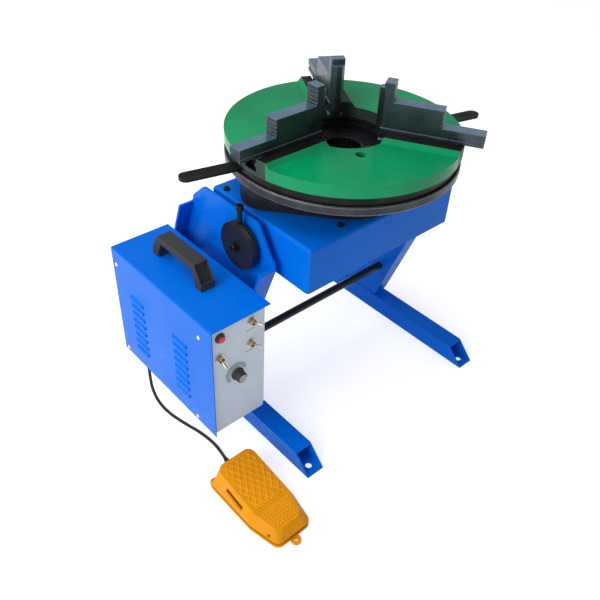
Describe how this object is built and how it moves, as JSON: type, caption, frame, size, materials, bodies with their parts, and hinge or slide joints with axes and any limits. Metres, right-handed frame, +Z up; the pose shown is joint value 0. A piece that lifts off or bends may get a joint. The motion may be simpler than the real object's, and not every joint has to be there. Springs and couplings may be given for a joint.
{
  "type": "welding positioner",
  "caption": "Tilting motor-driven turntable with a self-centring scroll chuck, carried between folded plates on tube feet, with a control box and foot pedal.",
  "frame": {"origin": "on the floor, at the centre of the four anchor holes, below the turntable axis at rest", "axes": "+Z up along the turntable axis at rest, -Y towards the control panel side, X along the tilt axis with the control box on the -X side"},
  "size_m": [0.6693, 0.511, 0.6211],
  "materials": {
    "blue_paint": "gloss enamel",
    "panel_paint": "satin",
    "green_paint": "gloss enamel",
    "black_steel": "black oxide, satin",
    "jaw_steel": "black oxide, ground",
    "grey_steel": "turned",
    "bright_steel": "zinc plated",
    "black_plastic": "moulded",
    "motor_paint": "satin",
    "red_plastic": "gloss",
    "yellow_plastic": "moulded",
    "green_board": "coated board",
    "transformer_steel": "varnished laminations",
    "cable_jacket": "smooth"
  },
  "bodies": {
    "stand": {"button_switch": "bright_steel", "cable_gland": "black_plastic", "carry_handle": "black_plastic", "case_chassis": "blue_paint", "case_cover": "blue_paint", "case_mounts": "grey_steel", "case_screws": "bright_steel", "control_board": "green_board", "cross_rod": "black_steel", "front_panel": "panel_paint", "left_bearing_flange": "grey_steel", "left_foot_tube": "blue_paint", "left_support_plate": "blue_paint", "pedal_base": "yellow_plastic", "pedal_cable": "cable_jacket", "pedal_pin": "bright_steel", "pedal_spring": "bright_steel", "pedal_switch": "black_plastic", "power_inlet": "black_plastic", "right_bearing_flange": "grey_steel", "right_foot_tube": "blue_paint", "right_shaft_collar": "black_steel", "right_support_plate": "blue_paint", "speed_potentiometer": "black_plastic", "tilt_clamp_ring": "black_steel", "toggle_switches": "bright_steel", "transformer": "transformer_steel"},
    "tilt_head": {"tilt_box_shell": "blue_paint", "tilt_box_cover": "blue_paint", "box_top_bolts": "black_steel", "left_trunnion": "grey_steel", "right_trunnion": "grey_steel", "trunnion_end_plates": "black_steel", "trunnion_end_screws": "bright_steel", "gear_housing": "black_steel", "bearing_sleeve": "grey_steel", "spindle_bearings": "bright_steel", "gearmotor": "motor_paint"},
    "turntable": {"hollow_spindle": "grey_steel", "spindle_nut": "grey_steel", "spindle_gear": "grey_steel", "table_disc": "grey_steel", "spindle_screws": "black_steel", "chuck_hub": "black_steel", "chuck_body": "green_paint", "chuck_screws": "black_steel"},
    "scroll": {"scroll_plate": "black_steel", "scroll_lever_a": "black_steel", "scroll_lever_b": "black_steel"},
    "jaw_1": {"jaw_1": "jaw_steel"},
    "jaw_2": {"jaw_2": "jaw_steel"},
    "jaw_3": {"jaw_3": "jaw_steel"},
    "pinion": {"drive_pinion": "grey_steel"},
    "lock_screw": {"tilt_lock_screw": "black_steel"},
    "forward_toggle": {"forward_toggle": "bright_steel"},
    "mode_toggle": {"mode_toggle": "bright_steel"},
    "power_toggle": {"power_toggle": "bright_steel"},
    "start_button": {"button_cap": "red_plastic"},
    "speed_knob": {"speed_knob": "black_plastic"},
    "foot_pedal": {"pedal_cover": "yellow_plastic"}
  },
  "joints": [
    {"name": "tilt", "type": "hinge", "parent": "stand", "child": "tilt_head", "pos_m": [0, 0.003, 0.385], "axis": [1, 0, 0], "range_deg": [0, 90]},
    {"name": "table_turn", "type": "hinge", "parent": "tilt_head", "child": "turntable", "pos_m": [0, 0, 0.4885], "axis": [0, 0, 1], "continuous": true},
    {"name": "pinion_turn", "type": "hinge", "parent": "tilt_head", "child": "pinion", "pos_m": [-0.134, 0.033, 0.459], "axis": [0, 0, 1], "continuous": true},
    {"name": "scroll_turn", "type": "hinge", "parent": "turntable", "child": "scroll", "pos_m": [0, 0, 0.504], "axis": [0, 0, 1], "range_deg": [-935, 647]},
    {"name": "jaw_slide_1", "type": "slide", "parent": "turntable", "child": "jaw_1", "axis": [0.5, 0.866, 0], "range_m": [-0.018, 0.026]},
    {"name": "jaw_slide_2", "type": "slide", "parent": "turntable", "child": "jaw_2", "axis": [-1, 0, 0], "range_m": [-0.018, 0.026]},
    {"name": "jaw_slide_3", "type": "slide", "parent": "turntable", "child": "jaw_3", "axis": [0.5, -0.866, 0], "range_m": [-0.018, 0.026]},
    {"name": "lock_screw_turn", "type": "hinge", "parent": "stand", "child": "lock_screw", "pos_m": [-0.21925, 0.003, 0.445], "axis": [0, 0, 1], "range_deg": [0, 360]},
    {"name": "forward_toggle_flip", "type": "hinge", "parent": "stand", "child": "forward_toggle", "pos_m": [-0.275, -0.098, 0.318], "axis": [0, 0, 1], "range_deg": [-40, 0]},
    {"name": "mode_toggle_flip", "type": "hinge", "parent": "stand", "child": "mode_toggle", "pos_m": [-0.277, -0.098, 0.273], "axis": [0, 0, 1], "range_deg": [-40, 0]},
    {"name": "power_toggle_flip", "type": "hinge", "parent": "stand", "child": "power_toggle", "pos_m": [-0.339, -0.098, 0.275], "axis": [1, 0, 0], "range_deg": [-50, 0]},
    {"name": "button_push", "type": "slide", "parent": "stand", "child": "start_button", "axis": [0, 1, 0], "range_m": [0, 0.002], "stiffness_N_per_m": 800, "springref_m": -0.001},
    {"name": "knob_turn", "type": "hinge", "parent": "stand", "child": "speed_knob", "pos_m": [-0.307, -0.105, 0.224], "axis": [0, -1, 0], "range_deg": [-240, 40]},
    {"name": "pedal_press", "type": "hinge", "parent": "stand", "child": "foot_pedal", "pos_m": [-0.3345, -0.262, 0.016], "axis": [-1, 0, 0], "range_deg": [0, 2.3], "stiffness_Nm_per_rad": 30, "springref_deg": -6.88, "deforming": ["pedal_spring"]}
  ],
  "couplings": [
    {"joint": "pinion_turn", "follows": "table_turn", "ratio": -3.0588},
    {"joint": "jaw_slide_1", "follows": "scroll_turn", "m_per_rad": -0.0015915},
    {"joint": "jaw_slide_2", "follows": "scroll_turn", "m_per_rad": -0.0015915},
    {"joint": "jaw_slide_3", "follows": "scroll_turn", "m_per_rad": -0.0015915}
  ]
}
